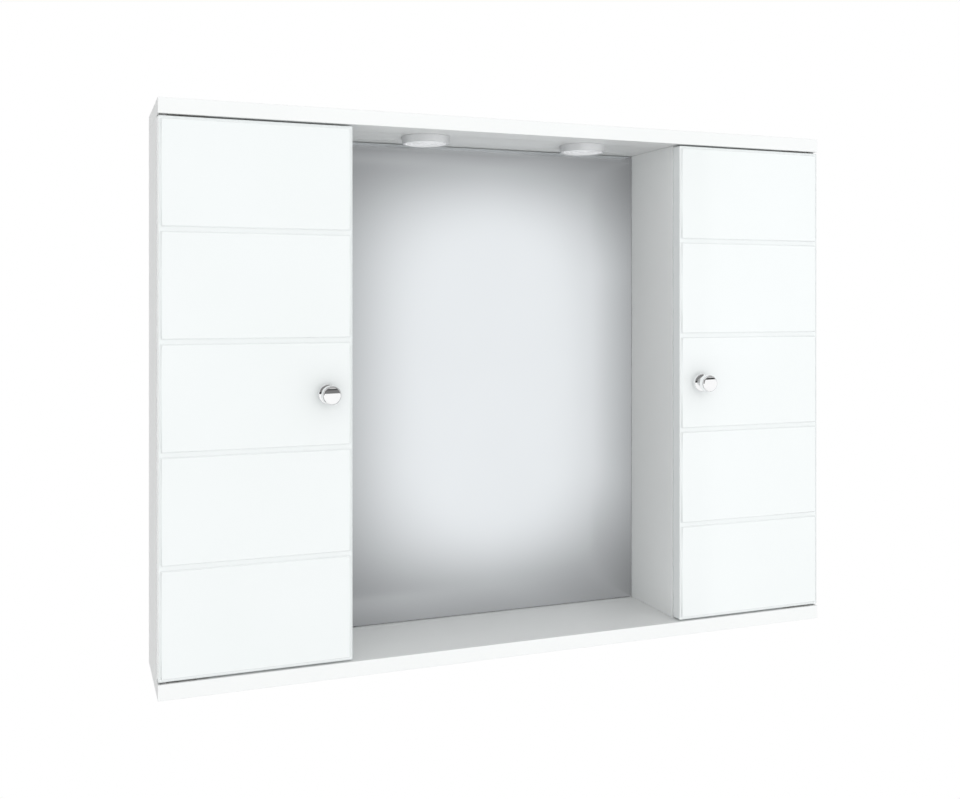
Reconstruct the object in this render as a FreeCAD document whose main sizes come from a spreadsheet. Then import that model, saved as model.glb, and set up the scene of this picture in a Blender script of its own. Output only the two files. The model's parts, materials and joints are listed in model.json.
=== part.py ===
import FreeCAD, Part
import math
import os
import re
import Sketcher
from FreeCAD import Placement, Rotation, Vector

# Wall-hung mirror cabinet: an open mirrored niche between two side bays with doors.
# The wall plane is Y = 0, the front faces -Y, and the origin is the middle of the back.

SIZES = {
    # Case
    "cabinet_width": 800,
    "cabinet_height": 600,
    "cabinet_depth": 120,
    "board_thickness": 16,
    "niche_width": 401,
    "back_thickness": 3,
    "back_seat": 8,
    "back_gap": 0.5,
    "back_screw_reach": 300,
    "back_screw_rise": 150,
    # Mirror
    "mirror_thickness": 4,
    "mirror_border": 1,
    "tape_thickness": 1,
    "tape_width": 20,
    "tape_margin": 40,
    # Wall fixing
    "rail_height": 60,
    "rail_thickness": 16,
    "wall_hole_spacing": 600,
    "wall_hole_diameter": 6.5,
    # Panel fittings
    "fit": 0.05,
    "fitting_depth": 48,
    "dowel_diameter": 8,
    "dowel_length": 30,
    "dowel_in_board": 11,
    "dowel_spacing": 48,
    "dowel_end_gap": 0.5,
    "dowel_chamfer": 1,
    "cam_diameter": 15,
    "cam_height": 12.3,
    "cam_setback": 24,
    "cam_slot_length": 9,
    "cam_slot_width": 1.4,
    "cam_slot_depth": 2.2,
    "bolt_diameter": 5,
    "bolt_in_board": 10.5,
    "bolt_shank": 7,
    "bolt_head": 6,
    "bolt_head_height": 3,
    "bolt_neck": 4,
    "bolt_neck_length": 6,
    # Countersunk screw
    "screw_diameter": 3,
    "screw_length": 12,
    "screw_point": 2.5,
    "screw_head": 5.6,
    "screw_head_depth": 1.7,
    "screw_slot_width": 0.8,
    "screw_slot_depth": 0.7,
    # Shelves
    "shelf_thickness": 5,
    "shelf_depth": 92,
    "shelf_side_gap": 1.25,
    "shelf_rear_gap": 1,
    "shelf_spacing": 192,
    "pin_diameter": 5,
    "pin_seat": 8,
    "pin_reach": 7,
    "pin_collar": 8,
    "pin_collar_thickness": 1,
    "pin_flat": 1.5,
    "pin_front": 80,
    "pin_rear": 24,
    "pin_pitch": 32,
    # Doors
    "door_thickness": 16,
    "door_rear_gap": 1.5,
    "door_end_gap": 2,
    "door_side_inset": 0.5,
    "door_edge_radius": 1,
    "tile_count": 5,
    "tile_margin": 2.5,
    "tile_relief": 1,
    "tile_slope": 45,
    "bumper_diameter": 8,
    "bumper_gap": 0.2,
    "bumper_inset": 30,
    # Pivot hinges
    "pivot_inset": 5.5,
    "pivot_setback": 7,
    "pivot_diameter": 5,
    "pivot_reach": 6,
    "pivot_bore_gap": 0.4,
    "leaf_length": 44,
    "leaf_width": 8,
    "leaf_thickness": 2,
    "leaf_seat_gap": 0.1,
    "leaf_screw_first": 14,
    "leaf_screw_pitch": 20,
    "washer_diameter": 8,
    "washer_gap": 0.1,
    # Knobs
    "knob_inset": 27.5,
    "knob_length": 22,
    "knob_base": 21,
    "knob_base_thickness": 5,
    "knob_waist": 13,
    "knob_waist_start": 6.8,
    "knob_waist_end": 11.5,
    "knob_head": 20,
    "knob_head_start": 13.2,
    "knob_head_end": 20.7,
    "knob_tip": 17.6,
    "knob_round": 1,
    "knob_thread": 4,
    "knob_thread_depth": 12,
    "knob_screw_head": 8,
    "knob_screw_head_height": 2.4,
    "knob_screw_slot": 1.2,
    "knob_screw_end_gap": 1,
    # Magnetic catches
    "catch_rise": 45,
    "catch_width": 14,
    "catch_depth": 20,
    "catch_height": 30,
    "catch_ear_height": 46,
    "catch_ear_thickness": 3,
    "catch_screw_spacing": 38,
    "catch_gap": 0.3,
    "magnet_width": 8,
    "magnet_depth": 14,
    "magnet_height": 24,
    "strike_width": 12,
    "strike_height": 38,
    "strike_thickness": 1.2,
    "strike_screw_spacing": 24,
    "strike_side_gap": 1,
    # Lights
    "light_spacing": 200,
    "light_setback": 56,
    "bezel_diameter": 56,
    "bezel_drop": 8,
    "bezel_taper": 1.5,
    "lip_thickness": 1.8,
    "lens_opening": 48,
    "lens_thickness": 2.5,
    "lens_gap": 0.2,
    "lens_inset": 0.4,
    "skirt_diameter": 50,
    "housing_wall": 1.4,
    "recess_diameter": 43.6,
    "recess_depth": 8.2,
    "recess_gap": 0.2,
    "wire_hole": 6,
    "lamp_thickness": 1.6,
    "lamp_step": 2,
    "lamp_ledge": 1.5,
    "chip_count": 8,
    "chip_diameter": 4,
    "chip_thickness": 0.7,
    "chip_circle": 26,
    "light_screw_diameter": 2.5,
    "light_screw_length": 7,
    "light_screw_head": 4.4,
    "light_screw_head_depth": 1.1,
    "light_screw_spacing": 22,
    # Light driver and cable entry
    "driver_length": 110,
    "driver_width": 42,
    "driver_height": 22,
    "driver_wall": 2,
    "driver_ear": 12,
    "driver_setback": 48,
    "driver_lead_hole": 7,
    "driver_post": 5,
    "driver_post_height": 3,
    "driver_post_inset": 8,
    "circuit_gap": 1,
    "circuit_thickness": 1.6,
    "coil_length": 34,
    "coil_width": 26,
    "coil_height": 9,
    "capacitor_diameter": 10,
    "capacitor_height": 8,
    "capacitor_offset": 34,
    "grommet_hole": 14,
    "grommet_bore": 8,
    "grommet_flange": 18,
    "grommet_flange_thickness": 1.5,
    "grommet_drop": 85,
}

# Places that follow from the driving dimensions
CASE_TOP = "(cabinet_height / 2 - board_thickness)"
CASE_SIDE = "(cabinet_width / 2 - board_thickness)"
CASE_DEPTH = "(cabinet_depth - door_thickness - door_rear_gap)"
NICHE_SIDE = "(niche_width / 2)"
PARTITION_SIDE = "(niche_width / 2 + board_thickness)"
PANEL_CENTRE = "(cabinet_width / 2 - board_thickness / 2)"
PARTITION_CENTRE = "(niche_width / 2 + board_thickness / 2)"
BAY_WIDTH = "(cabinet_width / 2 - niche_width / 2 - 2 * board_thickness)"
BAY_CENTRE = "(cabinet_width / 4 + niche_width / 4)"
BACK_WIDTH = "(cabinet_width - 2 * board_thickness + 2 * back_seat)"
BACK_HEIGHT = "(cabinet_height - 2 * board_thickness + 2 * back_seat)"
DOOR_BACK = "(cabinet_depth - door_thickness)"
DOOR_WIDTH = "(cabinet_width / 2 - niche_width / 2 - door_side_inset)"
DOOR_HEIGHT = "(cabinet_height - 2 * board_thickness - 2 * door_end_gap)"
DOOR_TOP = "(cabinet_height / 2 - board_thickness - door_end_gap)"
PIVOT_X = "(cabinet_width / 2 - door_side_inset - pivot_inset)"
PIVOT_Y = "(cabinet_depth - pivot_setback)"
KNOB_X = "(niche_width / 2 + knob_inset)"
LIGHT_Y = "(cabinet_depth - light_setback)"

AXIS_X = Vector(1, 0, 0)
AXIS_Y = Vector(0, 1, 0)
AXIS_Z = Vector(0, 0, 1)
TO_RIGHT = Rotation(AXIS_Y, 90)
TO_LEFT = Rotation(AXIS_Z, 180).multiply(TO_RIGHT)
TO_FRONT = Rotation(AXIS_X, 90)
TO_FLOOR = Rotation(AXIS_X, 180)
UPRIGHT = Rotation()

doc = FreeCAD.newDocument("mirror_cabinet")
sheet = doc.addObject("Spreadsheet::Sheet", "Sizes")
for row, (alias, value) in enumerate(SIZES.items(), 1):
    sheet.set(f"A{row}", alias)
    sheet.set(f"B{row}", str(value))
    sheet.setAlias(f"B{row}", alias)
doc.recompute()

nodes = []


# Writing sizes and places as formulas of the sheet

def formula(text):
    return re.sub(r"[a-z_]+", lambda word: "Sizes." + word[0] if word[0] in SIZES else word[0], text)


def bind(item, **texts):
    for name, text in texts.items():
        item.setExpression(name, formula(text))


def place(item, x, y, z, turn=UPRIGHT):
    item.Placement = Placement(Vector(), turn)
    for axis, text in zip("xyz", (x, y, z)):
        item.setExpression(f"Placement.Base.{axis}", formula(text))
    return item


def node(item, label):
    item.Label = label
    nodes.append(item)
    return item


# Plain solids and how they are joined

def box(name, size, corner):
    item = doc.addObject("Part::Box", name)
    bind(item, Length=size[0], Width=size[1], Height=size[2])
    return place(item, *corner)


def rod(name, diameter, length, start, turn=UPRIGHT):
    item = doc.addObject("Part::Cylinder", name)
    bind(item, Radius=f"({diameter}) / 2", Height=length)
    return place(item, *start, turn)


def cone(name, wide, narrow, length, start, turn=UPRIGHT):
    item = doc.addObject("Part::Cone", name)
    bind(item, Radius1=f"({wide}) / 2", Radius2=f"({narrow}) / 2", Height=length)
    return place(item, *start, turn)


def fuse(name, items):
    item = doc.addObject("Part::MultiFuse", name)
    item.Shapes = items
    return item


def group(name, items):
    item = doc.addObject("Part::Compound", name)
    item.Links = items
    return item


def cut(name, base, tools):
    item = doc.addObject("Part::Cut", name)
    item.Base = base
    item.Tool = tools[0] if len(tools) == 1 else fuse(name + "_cuts", tools)
    return item


def mirrored(name, source, normal):
    item = doc.addObject("Part::Mirroring", name)
    item.Source = source
    item.Normal = normal
    return item


def copies(name, master, spots):
    links = []
    for index, (x, y, z, turn) in enumerate(spots):
        link = doc.addObject("App::Link", f"{name}_{index}")
        link.setLink(master)
        links.append(place(link, x, y, z, turn))
    return group(name, links)


def both_ends(name, upper):
    return group(name, [upper, mirrored(name + "_lower", upper, AXIS_Z)])


def both_sides(name, left):
    return group(name, [left, mirrored(name + "_right", left, AXIS_X)])


def pair(left, name):
    node(left, "left_" + name)
    return node(mirrored("right_" + name, left, AXIS_X), "right_" + name)


# Sketched solids

def plane(body, role):
    return next(item for item in body.Origin.OriginFeatures if item.Role == role)


def new_sketch(body, name, role, lift):
    sketch = body.newObject("Sketcher::SketchObject", name)
    sketch.AttachmentSupport = [(plane(body, role), "")]
    sketch.MapMode = "FlatFace"
    sketch.setExpression("AttachmentOffset.Base.z", formula(lift))
    return sketch


def pin_point(sketch, geometry, point, x, y):
    for kind, text, axis in (("DistanceX", x, -2), ("DistanceY", y, -1)):
        if text == "0":
            sketch.addConstraint(Sketcher.Constraint("PointOnObject", geometry, point, axis))
        else:
            index = sketch.addConstraint(Sketcher.Constraint(kind, -1, 1, geometry, point, 1))
            sketch.setExpression(f"Constraints[{index}]", formula(text))


def outline(body, name, role, points, lift="0"):
    sketch = new_sketch(body, name, role, lift)
    count = len(points)
    # The ring only gives the solver a start; the constraints set every corner
    ring = [Vector(5 + 4 * math.cos(math.tau * i / count), 5 + 4 * math.sin(math.tau * i / count), 0)
            for i in range(count)]
    for i in range(count):
        sketch.addGeometry(Part.LineSegment(ring[i], ring[(i + 1) % count]))
    for i in range(count):
        sketch.addConstraint(Sketcher.Constraint("Coincident", i, 2, (i + 1) % count, 1))
    for i, (x, y) in enumerate(points):
        pin_point(sketch, i, 1, x, y)
    return sketch


def rectangle(body, name, role, low, high, lift="0"):
    corners = [low, (high[0], low[1]), high, (low[0], high[1])]
    return outline(body, name, role, corners, lift)


def disc(body, name, role, x, y, diameter, lift="0"):
    sketch = new_sketch(body, name, role, lift)
    sketch.addGeometry(Part.Circle(Vector(5, 5, 0), AXIS_Z, 2))
    pin_point(sketch, 0, 3, x, y)
    index = sketch.addConstraint(Sketcher.Constraint("Diameter", 0, 4))
    sketch.setExpression(f"Constraints[{index}]", formula(diameter))
    return sketch


def pad(body, name, sketch, length):
    feature = body.newObject("PartDesign::Pad", name)
    feature.Profile = sketch
    bind(feature, Length=length)
    return feature


# A turned piece: points are radius and height, and the axis is its own Z
def turned(name, points):
    body = doc.addObject("PartDesign::Body", name)
    sketch = outline(body, name + "_profile", "XZ_Plane", points)
    feature = body.newObject("PartDesign::Revolution", name + "_turn")
    feature.Profile = sketch
    feature.ReferenceAxis = (sketch, ["V_Axis"])
    feature.Angle = 360
    return body


# Countersunk screw with its seat: the head is flush with Z = 0 and the point is at +Z

def screw(name, diameter, length, head, head_depth):
    shank = f"({diameter}) / 2"
    body = turned(name + "_blank", [
        ("0", "0"), (f"({head}) / 2", "0"), (shank, head_depth),
        (shank, f"{length} - screw_point"), ("0", length)])
    slot = box(name + "_slot", (head, "screw_slot_width", "screw_slot_depth"),
               (f"-({head}) / 2", "-screw_slot_width / 2", "0"))
    return cut(name, body, [slot])


def screw_seat(name, diameter, length, head, head_depth):
    shank = rod(name + "_bore", f"{diameter} + 2 * fit", f"{length} + 2 * fit", ("0", "0", "0"))
    head_seat = cone(name + "_sink", f"{head} + 2 * fit", f"{diameter} + 2 * fit",
                     f"{head_depth} + fit", ("0", "0", "0"))
    return fuse(name, [shank, head_seat])


wood_screw = screw("wood_screw", "screw_diameter", "screw_length", "screw_head", "screw_head_depth")
wood_seat = screw_seat("wood_seat", "screw_diameter", "screw_length", "screw_head", "screw_head_depth")

# Panel fittings at the upper left joints: a dowel each side of a cam and its bolt

dowel_radius = "dowel_diameter / 2"
dowel = turned("dowel", [
    ("0", "0"), (f"{dowel_radius} - dowel_chamfer", "0"), (dowel_radius, "dowel_chamfer"),
    (dowel_radius, "dowel_length - dowel_chamfer"), (f"{dowel_radius} - dowel_chamfer", "dowel_length"),
    ("0", "dowel_length")])
dowel_seat = rod("dowel_seat", "dowel_diameter + 2 * fit", "dowel_length + 2 * dowel_end_gap",
                 ("0", "0", "0"))

bolt_joint = "(cam_setback - bolt_head_height / 2)"
bolt_end = f"({bolt_joint} + bolt_in_board)"
bolt_neck_top = "(bolt_head_height + bolt_neck_length)"
cam_bolt = turned("cam_bolt", [
    ("0", "0"), ("bolt_head / 2", "0"), ("bolt_head / 2", "bolt_head_height"),
    ("bolt_neck / 2", "bolt_head_height"), ("bolt_neck / 2", bolt_neck_top),
    ("bolt_shank / 2", bolt_neck_top), ("bolt_shank / 2", bolt_joint),
    ("bolt_diameter / 2", bolt_joint), ("bolt_diameter / 2", bolt_end), ("0", bolt_end)])
bolt_seat = fuse("bolt_seat", [
    rod("bolt_seat_panel", "bolt_shank + 2 * fit", f"{bolt_joint} + bolt_head_height / 2",
        ("0", "0", "-bolt_head_height / 2")),
    rod("bolt_seat_board", "bolt_diameter + 2 * fit", "bolt_in_board + bolt_head_height",
        ("0", "0", f"{bolt_joint} - bolt_head_height / 2"))])

cam_blank = rod("cam_blank", "cam_diameter", "cam_height", ("0", "0", "0"))
cam_bore = rod("cam_bore", "bolt_shank + 8 * fit", "cam_diameter",
               ("-cam_diameter / 2", "0", "board_thickness / 2"), TO_RIGHT)
cam_slots = [
    box("cam_slot_long", ("cam_slot_length", "cam_slot_width", "cam_slot_depth"),
        ("-cam_slot_length / 2", "-cam_slot_width / 2", "0")),
    box("cam_slot_cross", ("cam_slot_width", "cam_slot_length", "cam_slot_depth"),
        ("-cam_slot_width / 2", "-cam_slot_length / 2", "0"))]
cam = cut("cam", cam_blank, [cam_bore] + cam_slots)
cam_seat = rod("cam_seat", "cam_diameter + 2 * fit", "cam_height + 4 * fit", ("0", "0", "0"))

dowel_spots = []
seat_spots = []
bolt_spots = []
for x in (PANEL_CENTRE, PARTITION_CENTRE):
    for step in ("+", "-"):
        y = f"-(fitting_depth {step} dowel_spacing / 2)"
        dowel_spots.append((f"-{x}", y, f"{CASE_TOP} + dowel_in_board - dowel_length", UPRIGHT))
        seat_spots.append((f"-{x}", y, f"{CASE_TOP} + dowel_in_board + dowel_end_gap"
                           " - (dowel_length + 2 * dowel_end_gap)", UPRIGHT))
    bolt_spots.append((f"-{x}", "-fitting_depth", f"{CASE_TOP} - {bolt_joint}", UPRIGHT))
cam_height_z = f"{CASE_TOP} - cam_setback"
cam_spots = [(f"-{CASE_SIDE}", "-fitting_depth", cam_height_z, TO_LEFT),
             (f"-{PARTITION_SIDE}", "-fitting_depth", cam_height_z, TO_RIGHT)]

# The rail between side panel and partition takes two dowels at each end
rail_dowel_spots = []
rail_seat_spots = []
rail_y = "-(back_thickness + rail_thickness / 2)"
for share in (0.25, 0.75):
    z = f"{CASE_TOP} - {share} * rail_height"
    rail_dowel_spots.append((f"-{CASE_SIDE} - dowel_in_board", rail_y, z, TO_RIGHT))
    rail_dowel_spots.append((f"-{PARTITION_SIDE} + dowel_in_board", rail_y, z, TO_LEFT))
    rail_seat_spots.append((f"-{CASE_SIDE} - dowel_in_board - dowel_end_gap", rail_y, z, TO_RIGHT))
    rail_seat_spots.append((f"-{PARTITION_SIDE} + dowel_in_board + dowel_end_gap", rail_y, z, TO_LEFT))

joint_seats = both_ends("joint_seats", fuse("joint_seat_set", [
    copies("dowel_seats", dowel_seat, seat_spots), copies("bolt_seats", bolt_seat, bolt_spots),
    copies("cam_seats", cam_seat, cam_spots)]))
rail_seats = copies("rail_seats", dowel_seat, rail_seat_spots)
all_joint_seats = both_sides("all_joint_seats", joint_seats)

# Pivot hinges: a leaf let into the board and a leaf let into the door edge

leaf_start = f"-{PIVOT_X}"
leaf_y = f"-{PIVOT_Y}"


def leaf_form(name, gap, z, thickness):
    plate = box(name + "_plate", (f"leaf_length + {gap}", f"leaf_width + 2 * {gap}", thickness),
                (leaf_start, f"{leaf_y} - leaf_width / 2 - {gap}", z))
    end = rod(name + "_end", f"leaf_width + 2 * {gap}", thickness, (leaf_start, leaf_y, z))
    return fuse(name, [plate, end])


leaf_screw_xs = [f"{leaf_start} + leaf_screw_first + {index} * leaf_screw_pitch" for index in range(2)]
case_leaf_spots = [(x, leaf_y, CASE_TOP, UPRIGHT) for x in leaf_screw_xs]
door_leaf_spots = [(x, leaf_y, DOOR_TOP, TO_FLOOR) for x in leaf_screw_xs]
case_leaf_seats = copies("case_leaf_seats", wood_seat, case_leaf_spots)
door_leaf_seats = copies("door_leaf_seats", wood_seat, door_leaf_spots)
pivot_top = f"{CASE_TOP} + leaf_thickness"
pivot_length = "(2 * leaf_thickness + door_end_gap + pivot_reach)"

case_leaf = cut("case_leaf", leaf_form("case_leaf_form", "0", CASE_TOP, "leaf_thickness"), [
    rod("case_leaf_hole", "pivot_diameter + 2 * fit", "leaf_thickness", (leaf_start, leaf_y, CASE_TOP)),
    case_leaf_seats])
door_leaf_z = f"{DOOR_TOP} - leaf_thickness"
door_leaf = cut("door_leaf", leaf_form("door_leaf_form", "0", door_leaf_z, "leaf_thickness"), [
    rod("door_leaf_hole", "pivot_diameter + 2 * fit", "leaf_thickness", (leaf_start, leaf_y, door_leaf_z)),
    door_leaf_seats])
pivot_pin = rod("pivot_pin", "pivot_diameter", pivot_length,
                (leaf_start, leaf_y, f"{pivot_top} - {pivot_length}"))
washer_z = f"{CASE_TOP} - door_end_gap + washer_gap"
washer = cut("washer", rod("washer_disc", "washer_diameter", "door_end_gap - washer_gap",
                           (leaf_start, leaf_y, washer_z)),
             [rod("washer_hole", "pivot_diameter + 2 * fit", "door_end_gap",
                  (leaf_start, leaf_y, f"{CASE_TOP} - door_end_gap"))])
case_leaf_pocket = leaf_form("case_leaf_pocket", "leaf_seat_gap", CASE_TOP, "leaf_thickness")
door_leaf_pocket = leaf_form("door_leaf_pocket", "leaf_seat_gap", door_leaf_z, "leaf_thickness")
pivot_bore = rod("pivot_bore", "pivot_diameter + 2 * pivot_bore_gap", "pivot_reach + pivot_bore_gap",
                 (leaf_start, leaf_y, f"{door_leaf_z} - pivot_reach - pivot_bore_gap"))
case_hinge_seats = both_sides("case_hinge_seats", both_ends("left_case_hinge_seats", fuse(
    "case_hinge_seat_set", [case_leaf_pocket, case_leaf_seats])))
door_hinge_seats = both_ends("door_hinge_seats", fuse(
    "door_hinge_seat_set", [door_leaf_pocket, door_leaf_seats, pivot_bore]))

# Lights under the top board; each is drawn from the lower rim upwards

light_x = "-light_spacing / 2"
light_y = f"-{LIGHT_Y}"
light_z = f"{CASE_TOP} - bezel_drop"
skirt_end = "(lip_thickness + lens_thickness)"
spigot_radius = "(recess_diameter / 2 - recess_gap)"
spigot_top = "(bezel_drop + recess_depth - recess_gap)"
cup_radius = f"({spigot_radius} - housing_wall)"
cup_top = f"({spigot_top} - housing_wall)"
lamp_top = "(bezel_drop + lamp_step + lamp_thickness)"
light_recess = rod("light_recess", "recess_diameter", "recess_depth", (light_x, light_y, CASE_TOP))
light_wire = rod("light_wire", "wire_hole", "board_thickness", (light_x, light_y, CASE_TOP))
light_screw = screw("light_screw", "light_screw_diameter", "light_screw_length", "light_screw_head",
                    "light_screw_head_depth")
light_seat = screw_seat("light_seat", "light_screw_diameter", "light_screw_length",
                        "light_screw_head", "light_screw_head_depth")
light_screw_z = f"{light_z} + {cup_top}"
light_screw_spots = [(f"{light_x} {step} light_screw_spacing / 2", light_y, light_screw_z, UPRIGHT)
                     for step in ("-", "+")]
light_seats = copies("light_seats", light_seat, light_screw_spots)
light_cuts = both_sides("light_cuts", fuse("light_cut_set", [light_recess, light_wire, light_seats]))

housing_blank = turned("housing_blank", [
    ("wire_hole / 2", cup_top), ("wire_hole / 2", spigot_top), (spigot_radius, spigot_top),
    (spigot_radius, "bezel_drop"), ("skirt_diameter / 2", "bezel_drop"), ("skirt_diameter / 2", skirt_end),
    ("skirt_diameter / 2 - housing_wall", skirt_end),
    ("skirt_diameter / 2 - housing_wall", "bezel_drop - housing_wall"),
    (cup_radius, "bezel_drop - housing_wall"), (cup_radius, lamp_top),
    (f"{cup_radius} - lamp_ledge", lamp_top), (f"{cup_radius} - lamp_ledge", cup_top)])
place(housing_blank, light_x, light_y, light_z)
pair(cut("light_housing", housing_blank, [light_seats]), "light_housing")
bezel = turned("light_bezel", [
    ("lens_opening / 2", "0"), ("bezel_diameter / 2 - bezel_taper", "0"),
    ("bezel_diameter / 2", "bezel_drop"), ("skirt_diameter / 2 + fit", "bezel_drop"),
    ("skirt_diameter / 2 + fit", "lip_thickness"), ("lens_opening / 2", "lip_thickness")])
pair(place(bezel, light_x, light_y, light_z), "light_bezel")
lens = turned("light_lens", [
    ("0", "lens_inset"), ("lens_opening / 2 - 2 * lens_gap", "lens_inset"),
    ("lens_opening / 2 - lens_gap", "lip_thickness"), ("skirt_diameter / 2 - lens_gap", "lip_thickness"),
    ("skirt_diameter / 2 - lens_gap", skirt_end), ("0", skirt_end)])
pair(place(lens, light_x, light_y, light_z), "light_lens")
lamp_low = "(bezel_drop + lamp_step)"
lamp = turned("light_lamp", [
    ("0", lamp_low), (f"{cup_radius} - lens_gap", lamp_low), (f"{cup_radius} - lens_gap", lamp_top),
    ("0", lamp_top)])
chip_low = f"({lamp_low} - chip_thickness)"
chip_sketch = disc(lamp, "chip_round", "XY_Plane", "chip_circle / 2", "0", "chip_diameter", chip_low)
chip = pad(lamp, "chip", chip_sketch, "chip_thickness + lamp_thickness / 2")
chips = lamp.newObject("PartDesign::PolarPattern", "chips")
chips.Originals = [chip]
chips.Axis = (chip_sketch, ["N_Axis"])
chips.Angle = 360
bind(chips, Occurrences="chip_count")
lamp.Tip = chips
pair(place(lamp, light_x, light_y, light_z), "light_lamp")
left_light_screws = copies("left_light_screws", light_screw, light_screw_spots)
node(both_sides("light_screws", left_light_screws), "light_screws")

# Shelves on collared pins; the flat of a pin faces up

shelf_zs = ("shelf_spacing / 2", "-shelf_spacing / 2")
pin_sides = ((f"-{CASE_SIDE}", TO_RIGHT, "-"), (f"-{PARTITION_SIDE}", TO_LEFT, "+"))
pin_end = "(pin_seat + pin_collar_thickness + pin_reach)"
pin_blank = turned("pin_blank", [
    ("0", "0"), ("pin_diameter / 2", "0"), ("pin_diameter / 2", "pin_seat"), ("pin_collar / 2", "pin_seat"),
    ("pin_collar / 2", "pin_seat + pin_collar_thickness"),
    ("pin_diameter / 2", "pin_seat + pin_collar_thickness"), ("pin_diameter / 2", pin_end), ("0", pin_end)])
pin_trim = box("pin_trim", ("pin_diameter", "pin_diameter", "pin_reach"),
               ("-pin_flat - pin_diameter", "-pin_diameter / 2", "pin_seat + pin_collar_thickness"))
shelf_pin = cut("shelf_pin", pin_blank, [pin_trim])
pin_seat = rod("pin_seat_bore", "pin_diameter + 2 * fit", "pin_seat + 2 * fit", ("0", "0", "0"))
pin_spots = []
pin_seat_spots = []
for x, turn, inward in pin_sides:
    for y in ("-pin_front", "-pin_rear"):
        for shelf_z in shelf_zs:
            z = f"{shelf_z} - pin_flat"
            pin_spots.append((f"{x} {inward} pin_seat", y, z, turn))
            for step in (-1, 0, 1):
                hole_x = f"{x} {inward} (pin_seat + 2 * fit)"
                pin_seat_spots.append((hole_x, y, f"{z} + {step} * pin_pitch", turn))
pin_seats = copies("pin_seats", pin_seat, pin_seat_spots)
node(both_sides("shelf_pins", copies("left_shelf_pins", shelf_pin, pin_spots)), "shelf_pins")
shelf_size = (f"{BAY_WIDTH} - 2 * shelf_side_gap", "shelf_depth", "shelf_thickness")
shelf_front = "-(back_thickness + shelf_rear_gap + shelf_depth)"
for name, shelf_z in zip(("upper_shelf", "lower_shelf"), shelf_zs):
    pair(box(name, shelf_size, (f"-{CASE_SIDE} + shelf_side_gap", shelf_front, shelf_z)), name)

# Back panel, its screws, the wall fixing holes and the cable entry

wall_z = f"({CASE_TOP} - rail_height / 2)"
wall_hole = rod("wall_hole", "wall_hole_diameter", "back_thickness + rail_thickness",
                ("-wall_hole_spacing / 2", "0", wall_z), TO_FRONT)
wall_holes = both_sides("wall_holes", wall_hole)
edge_line = "(cabinet_width / 2 - board_thickness + back_seat / 2)"
rim_line = "(cabinet_height / 2 - board_thickness + back_seat / 2)"
back_spots = [("-back_screw_reach", "0", rim_line, TO_FRONT),
              ("-back_screw_reach / 3", "0", rim_line, TO_FRONT),
              (f"-{edge_line}", "0", "back_screw_rise", TO_FRONT),
              (f"-{PARTITION_CENTRE}", "0", "back_screw_rise", TO_FRONT)]
back_seats = both_sides("back_seats", both_ends("left_back_seats", copies(
    "back_seat_set", wood_seat, back_spots)))
node(both_sides("back_panel_screws", both_ends("left_back_screws", copies(
    "back_screw_set", wood_screw, back_spots))), "back_panel_screws")
back_recess = box("back_recess", (BACK_WIDTH, "back_thickness", BACK_HEIGHT),
                  (f"-{BACK_WIDTH} / 2", "-back_thickness", f"-{BACK_HEIGHT} / 2"))
grommet_z = f"({CASE_TOP} - grommet_drop)"
grommet_cut = rod("grommet_cut", "grommet_hole + 2 * fit", "back_thickness",
                  (BAY_CENTRE, "0", grommet_z), TO_FRONT)
sheet_width = f"{BACK_WIDTH} - 2 * back_gap"
sheet_height = f"{BACK_HEIGHT} - 2 * back_gap"
back_sheet = box("back_sheet", (sheet_width, "back_thickness", sheet_height),
                 (f"-{BACK_WIDTH} / 2 + back_gap", "-back_thickness", f"-{BACK_HEIGHT} / 2 + back_gap"))
node(cut("back_panel", back_sheet, [wall_holes, back_seats, grommet_cut]), "back_panel")
grommet_end = "(back_thickness + grommet_flange_thickness)"
grommet = turned("cable_grommet", [
    ("grommet_bore / 2", "0"), ("grommet_hole / 2", "0"), ("grommet_hole / 2", "back_thickness"),
    ("grommet_flange / 2", "back_thickness"), ("grommet_flange / 2", grommet_end),
    ("grommet_bore / 2", grommet_end)])
node(place(grommet, BAY_CENTRE, "0", grommet_z, TO_FRONT), "cable_grommet")

# Magnetic catch on the bay face of the partition, and its strike plate on the door

catch_x = f"-{PARTITION_SIDE}"
catch_front = f"-({DOOR_BACK} - strike_thickness - catch_gap)"
catch_spots = [(f"{catch_x} - catch_ear_thickness", f"{catch_front} + catch_depth / 2",
                f"catch_rise {step} catch_screw_spacing / 2", TO_RIGHT) for step in ("-", "+")]
catch_seats = copies("catch_seats", wood_seat, catch_spots)
catch_blank = fuse("catch_blank", [
    box("catch_block", ("catch_width", "catch_depth", "catch_height"),
        (f"{catch_x} - catch_width", catch_front, "catch_rise - catch_height / 2")),
    box("catch_ears", ("catch_ear_thickness", "catch_depth", "catch_ear_height"),
        (f"{catch_x} - catch_ear_thickness", catch_front, "catch_rise - catch_ear_height / 2"))])
magnet_size = ("magnet_width", "magnet_depth", "magnet_height")
magnet_corner = (f"{catch_x} - catch_width / 2 - magnet_width / 2", catch_front,
                 "catch_rise - magnet_height / 2")
magnet_slot = box("magnet_slot", magnet_size, magnet_corner)
pair(cut("catch_body", catch_blank, [magnet_slot, catch_seats]), "catch_body")
magnet = box("catch_magnet", magnet_size, magnet_corner)
node(both_sides("catch_magnets", magnet), "catch_magnets")
node(both_sides("catch_screws", copies("left_catch_screws", wood_screw, catch_spots)), "catch_screws")
strike_x = f"{catch_x} - strike_side_gap - strike_width"
strike_spots = [(f"{strike_x} + strike_width / 2", f"-{DOOR_BACK} + strike_thickness",
                 f"catch_rise {step} strike_screw_spacing / 2", TO_FRONT) for step in ("-", "+")]
strike_seats = copies("strike_seats", wood_seat, strike_spots)
strike_blank = box("strike_blank", ("strike_width", "strike_thickness", "strike_height"),
                   (strike_x, f"-{DOOR_BACK}", "catch_rise - strike_height / 2"))
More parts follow.
